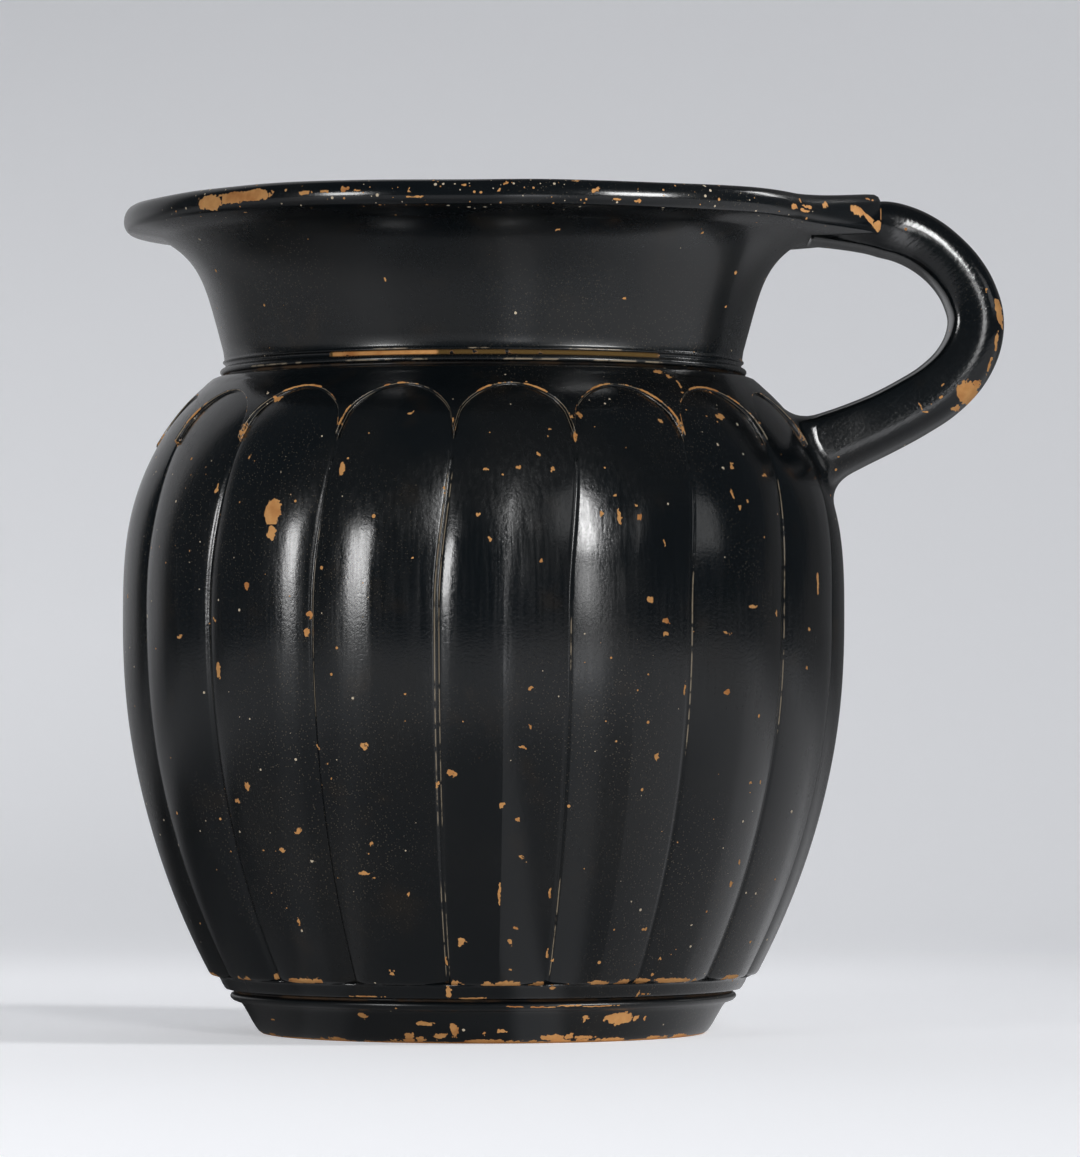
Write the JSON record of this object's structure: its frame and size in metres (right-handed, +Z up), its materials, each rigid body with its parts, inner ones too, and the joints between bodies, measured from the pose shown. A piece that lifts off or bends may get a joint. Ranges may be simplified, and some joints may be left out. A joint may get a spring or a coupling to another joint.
{
  "type": "oinochoe",
  "caption": "Small mug-shaped oinochoe with a ribbed belly, flaring neck, rolled lip, low ring foot and one strap handle from lip to shoulder.",
  "frame": {"origin": "centre of the bounding box at the plane that the foot rests on; the vessel's own axis stands 10.8 mm towards -X from it", "axes": "+Z up along the vessel's axis, +X towards the handle, the pictured side faces -Y"},
  "size_m": [0.1178, 0.0964, 0.112],
  "materials": {
    "black_gloss": "fired black gloss over orange clay, with chips and fine scratches",
    "clay_slip": "matt fired clay"
  },
  "bodies": {
    "root": {"body": "black_gloss", "neck": "black_gloss", "foot": "black_gloss", "handle": "black_gloss", "neck_luting_slip": "clay_slip", "foot_luting_slip": "clay_slip", "handle_top_luting_slip": "clay_slip", "handle_root_luting_slip": "clay_slip"}
  },
  "joints": []
}
